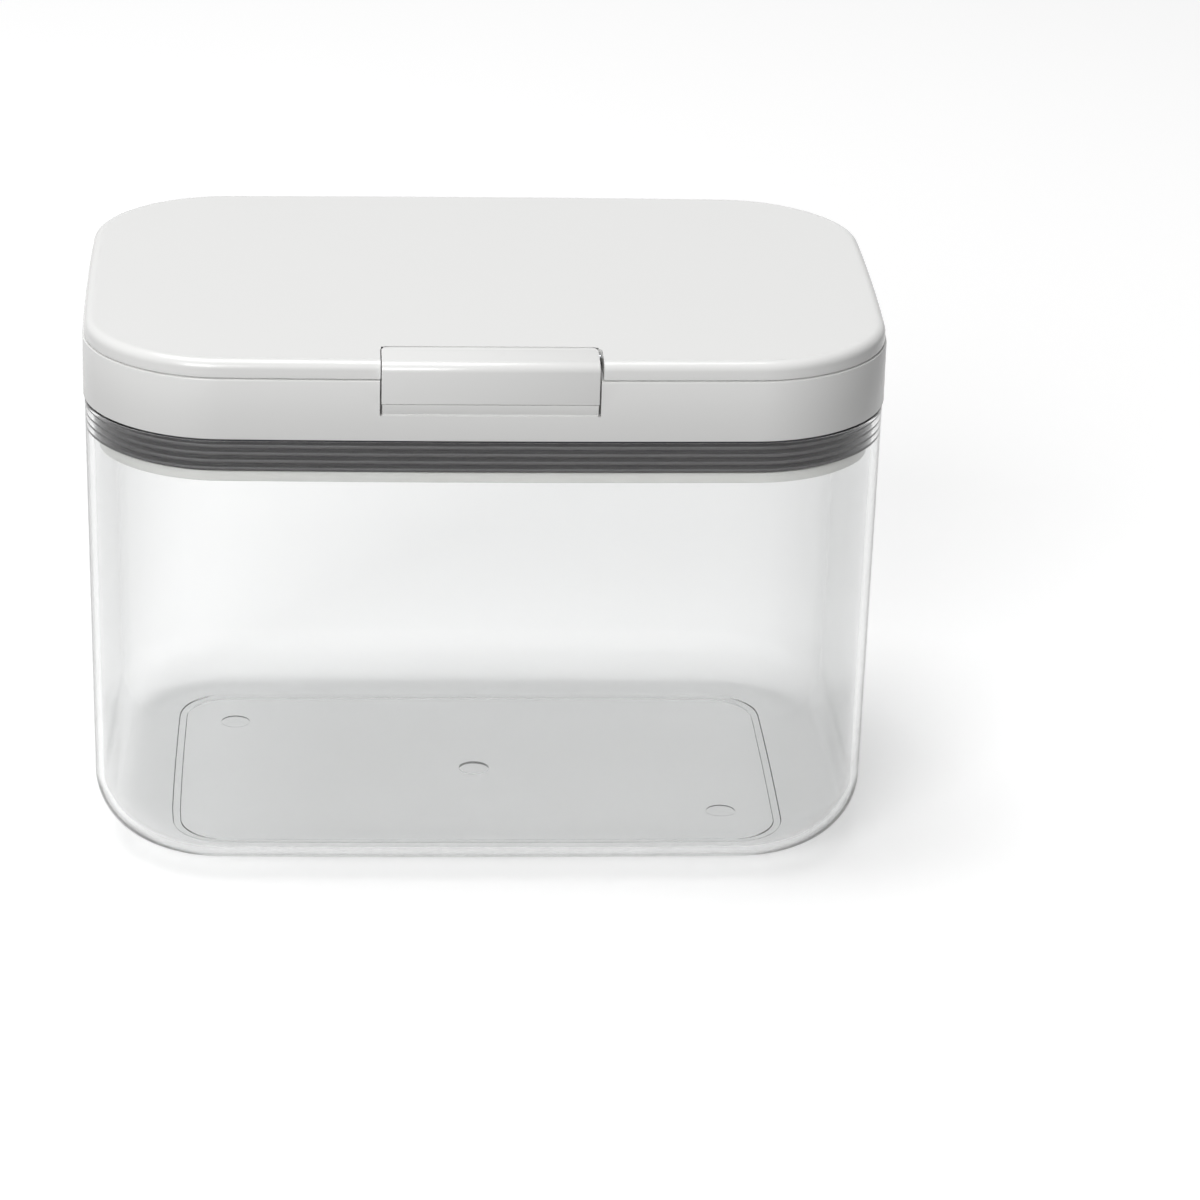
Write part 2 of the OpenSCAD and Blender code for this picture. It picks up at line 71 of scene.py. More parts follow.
# Container
RIM_INSET = 0.4 * MM
WALL = 2.6 * MM
DRAFT = 1.7 * MM
BASE_FILLET = 21 * MM
FLOOR_T = 3 * MM
FOOT_H = 1 * MM
FOOT_W = 2.3 * MM
FOOT_INSET = 25 * MM
FOOT_SLOPE = 0.28 * MM
# The foot ring is a little narrower and deeper than the plan outline
FOOT_NARROWER = 1.4 * MM
FOOT_DEEPER = 3.2 * MM
RIM_ROUND = 0.35 * MM
GATE_R = 5 * MM
GATE_DEPTH = 0.8 * MM
MARK_R = 4.8 * MM
MARK_DEPTH = 0.3 * MM
MARK_X = 80 * MM
MARK_Y = 36.5 * MM

# Lid band
BAND_Z = BAND_LOW.z
BAND_TOP = BAND_HIGH.z
BAND_EDGE_R = 0.35 * MM
BAND_WALL = 2.2 * MM
DECK_T = 2 * MM
DECK_Z = BAND_TOP - DECK_T
STEP_INSET = 17.5 * MM
SEAT_Z = BAND_TOP - 1.8 * MM
OPENING_INSET = 24 * MM
POST_R = 2 * MM
PEG_R = 1.2 * MM
PEG_GAP = 0.1 * MM

# Inner frame and seal
FRAME_Z = RIM_Z - 14.4 * MM
STRIP_TOP = FRAME_Z + 3.4 * MM
STRIP_INSET = 4.8 * MM
FRAME_LOW_INSET = 8.2 * MM
FRAME_TOP_INSET = 12.2 * MM
FRAME_WALL = 2 * MM
FRAME_EDGE_R = 0.2 * MM
FLANGE_TOP = BAND_Z + 1.8 * MM
LIP_INSET = 0.9 * MM
SEAL_INSET = 4.9 * MM
SEAL_EDGE_R = 0.32 * MM
RIB_PITCH = 2.45 * MM
RIB_T = 1.05 * MM
RIB_FIRST = 2.2 * MM
RIB_REACH = 1.9 * MM
RIB_COUNT = 4

# Cover
COVER_Z = BAND_TOP + 0.4 * MM
COVER_TOP = TAB_HIGH.z
COVER_INSET = 0.5 * MM
COVER_EDGE_R = 3 * MM
COVER_CROWN = 0.4 * MM
COVER_SKIN = 2.2 * MM
HOLLOW_INSET = 2.62 * MM
HOLLOW_R = 0.8 * MM
UNDER_EDGE_R = 0.25 * MM

# Latch tab and the places that it needs
TAB_X = TAB_HIGH.x
TAB_Y = TAB_LOW.y + 0.4 * MM
TAB_Z = TAB_LOW.z
TAB_T = 2.2 * MM
TAB_CORNER_R = 3.2 * MM
TAB_LOW_R = 0.25 * MM
TAB_INNER_R = 1.4 * MM
TAB_EDGE_R = 0.2 * MM
PIN_Y = (PIN_LOW.y + PIN_HIGH.y) / 2
PIN_Z = (PIN_LOW.z + PIN_HIGH.z) / 2
PIN_BORE_R = (PIN_HIGH.z - PIN_LOW.z) / 2 + 0.05 * MM
BARREL_R = 2.6 * MM
# Above the pin the tab reaches further back, close to the cover
HEEL_R = 2.9 * MM
NOTCH_X = TAB_X + 0.5 * MM
# The cover leaves more room on the tab's right than on its left
NOTCH_LEFT = TAB_X + 0.35 * MM
NOTCH_RIGHT = TAB_X + 1.2 * MM
NOTCH_Y = PIN_Y + 1.5 * MM
NOTCH_R = HEEL_R + 0.08 * MM
NOTCH_CORNER_R = 3.8 * MM
# Rods of room for the pivoting heel: how far each stays inside the notch's left end, and its radius
HEEL_ROOMS = (
    (0.3 * MM, 2.79 * MM), (1 * MM, 2.81 * MM), (1.2 * MM, 2.86 * MM), (1.35 * MM, 2.92 * MM),
    (1.5 * MM, NOTCH_R))
NOTCH_WALL = 2.4 * MM
NOTCH_FRONT = FRONT_Y + 1.5 * MM
NOTCH_BACK = PIN_Y + NOTCH_R + 1.6 * MM
RECESS_DEPTH = 2.4 * MM
RECESS_Y = FRONT_Y + RECESS_DEPTH
RECESS_WALL = 2.4 * MM
# The lip under the tab goes on from the tab's face and curves into the band
LIP_TOP = TAB_Z - 0.12 * MM
LIP_Y = TAB_Y + 0.05 * MM
LIP_R = 6.5 * MM
COVE_Z = TAB_Z - 4 * MM
GROOVE_R = 1.5 * MM
GROOVE_DEPTH = 0.8 * MM
SLOT_W = 0.8 * MM
SLOT_DEPTH = 4.4 * MM
CATCH_X = 29 * MM
CATCH_Z = TAB_Z + 2.7 * MM
CATCH_H = 1.6 * MM
CATCH_BITE = 0.3 * MM
CATCH_ROOM = 0.8 * MM
BAY_X = 27.5 * MM
BAY_W = 5 * MM
BAY_GAP = 0.2 * MM
BAY_R = 1.9 * MM
# The heel stays this far above the pin's axis where the springs' rear legs lie
LEG_ROOM = 0.8 * MM

# Hinge
HINGE_Y = (ROD_LOW.y + ROD_HIGH.y) / 2
HINGE_Z = (ROD_LOW.z + ROD_HIGH.z) / 2
ROD_BORE_R = (ROD_HIGH.z - ROD_LOW.z) / 2 + 0.05 * MM
KNUCKLE_R = 3.2 * MM
KNUCKLE_X = 12.6 * MM
POCKET_X = 37.4 * MM
POCKET_Z = HINGE_Z - KNUCKLE_R - 1.8 * MM
POCKET_Y = HINGE_Y - KNUCKLE_R - 0.4 * MM
POCKET_WALL = 1.5 * MM
CHEEK_T = 3 * MM
RELIEF_R = 5.9 * MM
OVER = 1 * MM


def pick_faces(piece, wanted):
    """Selects the faces that are wanted, and nothing else."""
    bpy.ops.mesh.select_mode(type="FACE")
    bpy.ops.mesh.select_all(action="DESELECT")
    mesh = bmesh.from_edit_mesh(piece.data)
    for face in mesh.faces:
        face.select_set(wanted(face))
    bmesh.update_edit_mesh(piece.data)


def pick_edges(piece, wanted):
    """Selects the edges that are wanted, and nothing else."""
    bpy.ops.mesh.select_mode(type="EDGE")
    bpy.ops.mesh.select_all(action="DESELECT")
    mesh = bmesh.from_edit_mesh(piece.data)
    for edge in mesh.edges:
        edge.select_set(wanted(edge))
    bmesh.update_edit_mesh(piece.data)


def middle(edge):
    return (edge.verts[0].co + edge.verts[1].co) / 2


def only(piece):
    """Makes a piece the only one that is selected."""
    bpy.ops.object.select_all(action="DESELECT")
    piece.select_set(True)
    bpy.context.view_layer.objects.active = piece


def open_for_edit(piece):
    only(piece)
    bpy.ops.object.mode_set(mode="EDIT")


def close_edit():
    bpy.ops.object.mode_set(mode="OBJECT")


def plate(name, inset, height):
    """A flat plate in the plan outline, at a distance inside the band's face, left open for editing."""
    bpy.ops.object.select_all(action="DESELECT")
    bpy.ops.mesh.primitive_plane_add(size=1, location=(0, 0, height))
    piece = bpy.context.object
    piece.name = name
    piece.scale = (PLAN_W - 2 * inset, PLAN_D - 2 * inset, 1)
    bpy.ops.object.transform_apply(location=True, rotation=True, scale=True)
    bpy.ops.object.mode_set(mode="EDIT")
    bpy.ops.mesh.select_mode(type="VERT")
    bpy.ops.mesh.bevel(offset=CORNER_R - inset, segments=CORNER_STEPS, affect="VERTICES")
    pick_edges(piece, lambda edge: edge.calc_length() > SHORTEST_SIDE)
    bpy.ops.mesh.subdivide(number_cuts=SIDE_STEPS - 1)
    pick_faces(piece, lambda face: True)
    return piece


def draw_on(rings):
    """Draws the selected face on from ring to ring, each an inset and a height."""
    for (inset, height), (next_inset, next_height) in zip(rings, rings[1:]):
        bpy.ops.mesh.inset(thickness=next_inset - inset, depth=next_height - height)


def drawn(name, rings, capped=True):
    """A plate drawn on through rings, open at its first ring."""
    piece = plate(name, *rings[0])
    draw_on(rings)
    if not capped:
        bpy.ops.mesh.delete(type="ONLY_FACE")
    close_edit()
    return piece


def joined(piece, *others):
    """Several meshes as one piece."""
    only(piece)
    for other in others:
        other.select_set(True)
    bpy.ops.object.join()
    return piece


def lined(piece, lining):
    """Joins two skins along the rings that they share, and turns their faces outwards."""
    joined(piece, lining)
    open_for_edit(piece)
    bpy.ops.mesh.select_all(action="SELECT")
    bpy.ops.mesh.remove_doubles(threshold=NEAR / 2)
    bpy.ops.mesh.normals_make_consistent(inside=False)
    close_edit()


def pull_out(piece, low, high, reach):
    """Draws the upright faces between two heights outwards, as a rib or a flange."""
    open_for_edit(piece)
    pick_faces(piece, lambda face: abs(face.normal.z) < 0.3 and low < face.calc_center_median().z < high)
    outwards = {"value": reach, "use_even_offset": True}
    bpy.ops.mesh.extrude_region_shrink_fatten(TRANSFORM_OT_shrink_fatten=outwards)
    close_edit()


def bow_sides(piece):
    """Lets the four sides of the plan outline swell outwards in their middle."""
    for vertex in piece.data.vertices:
        u = 2 * vertex.co.x / PLAN_W
        v = 2 * vertex.co.y / PLAN_D
        vertex.co.x += u * SIDE_BOW * (1 - v * v)
        vertex.co.y += v * SIDE_BOW * (1 - u * u)


def block(low, high):
    """A block from its lowest to its highest corner."""
    low, high = Vector(low), Vector(high)
    bpy.ops.object.select_all(action="DESELECT")
    bpy.ops.mesh.primitive_cube_add(size=1, location=(low + high) / 2)
    piece = bpy.context.object
    piece.scale = high - low
    bpy.ops.object.transform_apply(location=True, rotation=True, scale=True)
    return piece


def mirrored_block(half, low, high):
    """A block that reaches as far to the left as to the right, with its Y and Z limits."""
    return block((-half, *low), (half, *high))


def rod(y, z, radius, half, x=0, sides=96):
    """A rod along X, from its middle, radius and half length."""
    bpy.ops.object.select_all(action="DESELECT")
    bpy.ops.mesh.primitive_cylinder_add(
        vertices=sides, radius=radius, depth=2 * half, location=(x, y, z), rotation=(0, pi / 2, 0))
    bpy.ops.object.transform_apply(location=True, rotation=True, scale=True)
    return bpy.context.object


def post(x, y, radius, low, high):
    """An upright round post."""
    bpy.ops.object.select_all(action="DESELECT")
    bpy.ops.mesh.primitive_cylinder_add(
        vertices=48, radius=radius, depth=high - low, location=(x, y, (low + high) / 2))
    bpy.ops.object.transform_apply(location=True, rotation=True, scale=True)
    return bpy.context.object


def combine(piece, tool, operation):
    step = piece.modifiers.new("combine", "BOOLEAN")
    step.operation = operation
    step.solver = "EXACT"
    step.object = tool
    only(piece)
    bpy.ops.object.modifier_apply(modifier=step.name)
    bpy.data.objects.remove(tool)


def add(piece, *tools):
    for tool in tools:
        combine(piece, tool, "UNION")


def cut(piece, *tools):
    for tool in tools:
        combine(piece, tool, "DIFFERENCE")


def keep_within(piece, tool):
    combine(piece, tool, "INTERSECT")


def round_edges(piece, wanted, radius, steps):
    """Rounds the edges that are wanted."""
    open_for_edit(piece)
    pick_edges(piece, wanted)
    bpy.ops.mesh.bevel(offset=radius, segments=steps, affect="EDGES")
    close_edit()


def soften(piece, width, steps=2, sharp=35):
    """A narrow rounding on every sharp edge, as a mould leaves it."""
    step = piece.modifiers.new("soften", "BEVEL")
    step.width = width
    step.segments = steps
    step.limit_method = "ANGLE"
    step.angle_limit = radians(sharp)
    step.use_clamp_overlap = False
    only(piece)
    bpy.ops.object.modifier_apply(modifier=step.name)


def shade(piece, sharp=32):
    only(piece)
    bpy.ops.object.shade_smooth_by_angle(angle=radians(sharp))


def quarter_out(inset, height, radius, steps):
    """Rings of a rounding that turns from a wall, downwards and inwards, into a floor."""
    turns = [pi / 2 * step / steps for step in range(steps + 1)]
    return [(inset + radius * (1 - cos(t)), height + radius * (1 - sin(t))) for t in turns]


def quarter_up(inset, height, radius, steps):
    """Rings of a rounding that turns from a wall, upwards and inwards, into a top."""
    turns = [pi / 2 * step / steps for step in range(steps + 1)]
    return [(inset + radius * (1 - cos(t)), height - radius * (1 - sin(t))) for t in turns]


def make_container():
    """The clear tub: polished rim, leaning walls, rounded bottom, foot ring and moulding marks."""
    base_inset = RIM_INSET + DRAFT
    floor_z = FOOT_H + FLOOR_T
    outer = (
        [(RIM_INSET, RIM_Z), (RIM_INSET, RIM_Z - STRIP), (base_inset, FOOT_H + BASE_FILLET + STRIP)]
        + quarter_out(base_inset, FOOT_H, BASE_FILLET, 20)[:-1]
        + [(FOOT_INSET, FOOT_H), (FOOT_INSET + FOOT_SLOPE, 0)]
        + [(FOOT_INSET + FOOT_SLOPE + FOOT_W, 0), (FOOT_INSET + 2 * FOOT_SLOPE + FOOT_W, FOOT_H)]
        + [(FOOT_INSET + 2 * FOOT_SLOPE + FOOT_W + STRIP, FOOT_H)])
    inner_fillet = BASE_FILLET - WALL
    inner = (
        [(RIM_INSET, RIM_Z), (RIM_INSET + WALL, RIM_Z), (RIM_INSET + WALL, RIM_Z - STRIP)]
        + [(base_inset + WALL, floor_z + inner_fillet + STRIP)]
        + quarter_out(base_inset + WALL, floor_z, inner_fillet, 20)
        + [(base_inset + BASE_FILLET + STRIP, floor_z)])
    tub = drawn("container", outer)
    lined(tub, drawn("lining", inner))
    for vertex in tub.data.vertices:
        if vertex.co.z < FOOT_H + NEAR:
            vertex.co.x *= 1 - FOOT_NARROWER / (PLAN_W / 2 - FOOT_INSET)
            vertex.co.y *= 1 + FOOT_DEEPER / (PLAN_D / 2 - FOOT_INSET)
    bow_sides(tub)
    round_edges(tub, is_rim_edge, RIM_ROUND, 3)
    cut(tub, post(0, 0, GATE_R, -OVER, FOOT_H + GATE_DEPTH))
    for side in (-1, 1):
        cut(tub, post(side * MARK_X, -side * MARK_Y, MARK_R, floor_z - MARK_DEPTH, floor_z + OVER))
    shade(tub)
    return tub


def is_rim_edge(edge):
    turns_over = edge.is_manifold and edge.calc_face_angle() > radians(60)
    return turns_over and middle(edge).z > RIM_Z - NEAR


def make_seal():
    """The ribbed rubber seal, with the thin lip that lies between rim and band."""
    foot = STRIP_TOP
    rib_middles = [RIM_Z - RIB_FIRST - k * RIB_PITCH for k in range(RIB_COUNT)]
    levels = sorted(z + side * RIB_T / 2 for z in rib_middles for side in (-1, 1))
    outer = [(SEAL_INSET, z) for z in [foot, *levels, RIM_Z, BAND_Z]] + [(FRAME_LOW_INSET, BAND_Z)]
    inner = [(SEAL_INSET, foot), (FRAME_LOW_INSET, foot), (FRAME_LOW_INSET, BAND_Z)]
    seal = drawn("ribbed_seal", outer, capped=False)
    for z in rib_middles:
        pull_out(seal, z - RIB_T / 2, z + RIB_T / 2, RIB_REACH)
    pull_out(seal, RIM_Z, BAND_Z, SEAL_INSET - LIP_INSET)
    lined(seal, drawn("lining", inner, capped=False))
    bow_sides(seal)
    soften(seal, SEAL_EDGE_R, steps=3)
    shade(seal)
    return seal


def make_inner_frame():
    """The ring that backs the seal: foot lip, lower wall, flange and upper wall."""
    low_inner = FRAME_LOW_INSET + FRAME_WALL
    top_inner = FRAME_TOP_INSET + FRAME_WALL
    top = SEAT_Z - DECK_T
    outer = [
        (STRIP_INSET, FRAME_Z), (STRIP_INSET, STRIP_TOP), (FRAME_LOW_INSET, STRIP_TOP),
        (FRAME_LOW_INSET, BAND_Z), (FRAME_LOW_INSET, FLANGE_TOP), (FRAME_TOP_INSET, FLANGE_TOP),
        (FRAME_TOP_INSET, top), (top_inner, top)]
    inner = [
        (STRIP_INSET, FRAME_Z), (low_inner, FRAME_Z), (low_inner, BAND_Z), (top_inner, BAND_Z),
        (top_inner, top)]
    ring = drawn("seal_frame", outer, capped=False)
    pull_out(ring, BAND_Z, FLANGE_TOP, FRAME_LOW_INSET - BAND_WALL - PEG_GAP)
    lined(ring, drawn("lining", inner, capped=False))
    bow_sides(ring)
    for x, y in post_places():
        cut(ring, post(x, y, PEG_R + PEG_GAP, BAND_Z - OVER, FLANGE_TOP + OVER))
    soften(ring, FRAME_EDGE_R)
    shade(ring)
    return ring


def post_places():
    """The eight places where the band's posts hold the inner frame."""
    post_in = (BAND_WALL + FRAME_TOP_INSET) / 2
    front = (PLAN_W / 4, PLAN_D / 2 - post_in + SIDE_BOW / 2)
    side = (PLAN_W / 2 - post_in + SIDE_BOW, PLAN_D / 5)
    return [(sx * x, sy * y) for x, y in (front, side) for sx in (-1, 1) for sy in (-1, 1)]


def make_band():
    """The white band: outer wall, deck, seat ledge, latch recess, hinge pocket and posts."""
    under_ledge = SEAT_Z - DECK_T
    ledge_inset = STEP_INSET - DECK_T
    outer = [
        (0, BAND_Z), (0, BAND_TOP), (STEP_INSET, BAND_TOP), (STEP_INSET, SEAT_Z),
        (OPENING_INSET, SEAT_Z), (OPENING_INSET, under_ledge)]
    inner = [
        (0, BAND_Z), (BAND_WALL, BAND_Z), (BAND_WALL, DECK_Z), (ledge_inset, DECK_Z),
        (ledge_inset, under_ledge), (OPENING_INSET, under_ledge)]
    band = drawn("band", outer, capped=False)
    lined(band, drawn("lining", inner, capped=False))
    bow_sides(band)
    soften(band, BAND_EDGE_R)
    cut_latch_recess(band)
    make_hinge_pocket(band)
    for x, y in post_places():
        add(band, post(x, y, POST_R, FLANGE_TOP, DECK_Z + DECK_T / 2))
        add(band, post(x, y, PEG_R, BAND_Z, FLANGE_TOP + OVER))
    shade(band)
    return band


def cut_latch_recess(band):
    """Behind the tab: a thick wall, the recess, the lip, the end slots and the catch groove."""
    wall_x = NOTCH_X + RECESS_WALL
    wall_back = FRONT_Y + SLOT_DEPTH + RECESS_WALL
    add(band, mirrored_block(
        wall_x, (FRONT_Y + BAND_WALL / 2, COVE_Z - RECESS_WALL), (wall_back, DECK_Z + DECK_T / 2)))
    groove_z = COVE_Z + (GROOVE_R ** 2 - (GROOVE_R - GROOVE_DEPTH) ** 2) ** 0.5
    cut(band, rod(FRONT_Y - GROOVE_R + GROOVE_DEPTH, groove_z, GROOVE_R, NOTCH_X))
    lip = rod(LIP_Y + LIP_R, TAB_Z, LIP_R, NOTCH_X, sides=512)
    keep_within(lip, mirrored_block(
        NOTCH_X + OVER, (LIP_Y - OVER, COVE_Z), (FRONT_Y + BAND_WALL, LIP_TOP + OVER)))
    add(band, lip)
    cut(band, mirrored_block(NOTCH_X, (LIP_Y - OVER, LIP_TOP), (RECESS_Y, BAND_TOP + OVER)))
    for side in (-1, 1):
        slot_x = side * (NOTCH_X - SLOT_W / 2)
        cut(band, block(
            (slot_x - SLOT_W / 2, LIP_Y - OVER, COVE_Z),
            (slot_x + SLOT_W / 2, FRONT_Y + SLOT_DEPTH, BAND_TOP + OVER)))
    cut(band, mirrored_block(
        CATCH_X + CATCH_ROOM, (RECESS_Y - OVER, CATCH_Z - CATCH_ROOM / 2),
        (RECESS_Y + CATCH_BITE + CATCH_ROOM, CATCH_Z + CATCH_H + CATCH_ROOM)))


def make_hinge_pocket(band):
    """At the back: the pocket for the cover's arms, the fixed knuckle and the rounded back edge."""
    box_x = POCKET_X + CHEEK_T
    add(band, mirrored_block(
        box_x, (POCKET_Y - POCKET_WALL, POCKET_Z - POCKET_WALL),
        (BACK_Y - BAND_WALL / 2, DECK_Z + DECK_T / 2)))
    cut(band, mirrored_block(POCKET_X, (POCKET_Y, POCKET_Z), (BACK_Y + OVER, BAND_TOP + OVER)))
    relief = mirrored_block(BAND_HIGH.x, (HINGE_Y, HINGE_Z), (BACK_Y + OVER, BAND_TOP + OVER))
    cut(relief, rod(HINGE_Y, HINGE_Z, RELIEF_R, BAND_HIGH.x + OVER))
    cut(band, relief)
    knuckle = rod(HINGE_Y, HINGE_Z, KNUCKLE_R, KNUCKLE_X)
    add(knuckle, mirrored_block(
        KNUCKLE_X, (HINGE_Y - KNUCKLE_R, POCKET_Z - POCKET_WALL / 2), (HINGE_Y + KNUCKLE_R, HINGE_Z)))
    add(band, knuckle)
    cut(band, rod(HINGE_Y, HINGE_Z, ROD_BORE_R, box_x + OVER))


def make_cover():
    """The glossy cover: upright edge, rounded top edge, slight crown, hollow underside, latch notch."""
    outer = (
        [(COVER_INSET, COVER_Z), (COVER_INSET, COVER_Z + STRIP)]
        + quarter_up(COVER_INSET, COVER_TOP, COVER_EDGE_R, 12)
        + [(COVER_INSET + COVER_EDGE_R + STRIP, COVER_TOP)])
    skin_under = COVER_TOP - COVER_SKIN
    inner = (
        [(COVER_INSET, COVER_Z), (HOLLOW_INSET, COVER_Z)]
        + quarter_up(HOLLOW_INSET, skin_under, HOLLOW_R, 4))
    cover = plate("cover", *outer[0])
    draw_on(outer)
    crown_the_top()
    close_edit()
    lined(cover, drawn("lining", inner))
    bow_sides(cover)
    round_edges(cover, is_under_edge, UNDER_EDGE_R, 3)
    add(cover, mirrored_block(
        NOTCH_X + NOTCH_WALL, (NOTCH_FRONT, COVER_Z), (NOTCH_BACK, skin_under + OVER)))
    cut(cover, notch_tool())
    for distance, radius in HEEL_ROOMS:
        cut(cover, rod(PIN_Y, PIN_Z, radius, NOTCH_LEFT - distance))
    cut(cover, block(
        (-NOTCH_LEFT, PIN_Y - OVER, COVER_Z - OVER), (NOTCH_RIGHT, PIN_Y + NOTCH_R, PIN_Z)))
    cut(cover, rod(PIN_Y, PIN_Z, PIN_BORE_R, NOTCH_X + NOTCH_WALL + OVER))
    shade(cover)
    return cover


def crown_the_top():
    """Draws the top face on towards the middle, a little higher with each ring."""
    shares = [1, 0.97, 0.9, 0.8, 0.66, 0.5, 0.36, 0.24]
    for share, next_share in zip(shares, shares[1:]):
        rise = COVER_CROWN * (share * share - next_share * next_share)
        bpy.ops.mesh.extrude_region_move(TRANSFORM_OT_translate={"value": (0, 0, rise)})
        bpy.ops.transform.resize(value=(next_share / share, next_share / share, 1))


def is_under_edge(edge):
    turns_up = edge.is_manifold and edge.calc_face_angle() > radians(60)
    return turns_up and middle(edge).z < COVER_Z + NEAR


def notch_tool():
    """What the tab needs out of the cover, with rounded rear corners."""
    tool = block((-NOTCH_LEFT, FRONT_Y - OVER, COVER_Z - OVER), (NOTCH_RIGHT, NOTCH_Y, COVER_TOP + OVER))
    round_edges(tool, lambda edge: is_upright(edge) and middle(edge).y > NOTCH_Y - NEAR, NOTCH_CORNER_R, 12)
    return tool


def is_upright(edge):
    start, end = edge.verts[0].co, edge.verts[1].co
    return abs(start.z - end.z) > 0.9 * (start - end).length


def make_tab():
    """The latch tab: top plate, rounded front edge, front plate, barrel, catch rib and spring bays."""
    tab = mirrored_block(TAB_X, (TAB_Y, TAB_Z), (PIN_Y, COVER_TOP))
    tab.name = "tab"
    round_edges(tab, lambda edge: lies_at(edge, TAB_Y, COVER_TOP), COVER_EDGE_R, 12)
    round_edges(tab, lambda edge: lies_at(edge, TAB_Y, TAB_Z), TAB_LOW_R, 3)
    hollow = mirrored_block(TAB_X + OVER, (TAB_Y + TAB_T, TAB_Z - OVER), (PIN_Y + OVER, COVER_TOP - TAB_T))
    round_edges(hollow, lambda edge: lies_at(edge, TAB_Y + TAB_T, COVER_TOP - TAB_T), TAB_INNER_R, 5)
    cut(tab, hollow)
    heel = rod(PIN_Y, PIN_Z, HEEL_R, TAB_X)
    keep_within(heel, mirrored_block(
        TAB_X + OVER, (PIN_Y - HEEL_R - OVER, PIN_Z), (PIN_Y + HEEL_R + OVER, COVER_TOP)))
    add(tab, heel, rod(PIN_Y, PIN_Z, BARREL_R, TAB_X))
    add(tab, mirrored_block(
        CATCH_X, (TAB_Y + TAB_T / 2, CATCH_Z), (RECESS_Y + CATCH_BITE, CATCH_Z + CATCH_H)))
    cut(tab, rod(PIN_Y, PIN_Z, PIN_BORE_R, TAB_X + OVER))
    for side in (-1, 1):
        bay_low, bay_high = side * BAY_X - BAY_W / 2, side * BAY_X + BAY_W / 2
        front, under = PIN_Y - BARREL_R - BAY_GAP, PIN_Z - BARREL_R - OVER
        cut(tab, rod(PIN_Y, PIN_Z, BAY_R, BAY_W / 2, x=side * BAY_X))
        cut(tab, block((bay_low, front, under), (bay_high, PIN_Y + HEEL_R + OVER, PIN_Z + LEG_ROOM)))
        cut(tab, block((bay_low, front, under), (bay_high, PIN_Y, COVER_TOP - TAB_T)))
    rear = PIN_Y + HEEL_R
    top_rear = PIN_Y + (HEEL_R ** 2 - (COVER_TOP - PIN_Z) ** 2) ** 0.5
    plan = mirrored_block(TAB_X, (TAB_Y - OVER, TAB_Z - OVER), (rear, COVER_TOP + OVER))
    corner_r = rear - top_rear + TAB_CORNER_R
    round_edges(plan, lambda edge: is_upright(edge) and middle(edge).y > rear - NEAR, corner_r, 12)
    keep_within(tab, plan)
    soften(tab, TAB_EDGE_R)
    shade(tab)
    return tab


def lies_at(edge, y, z):
    place = middle(edge)
    return abs(place.y - y) < NEAR and abs(place.z - z) < NEAR


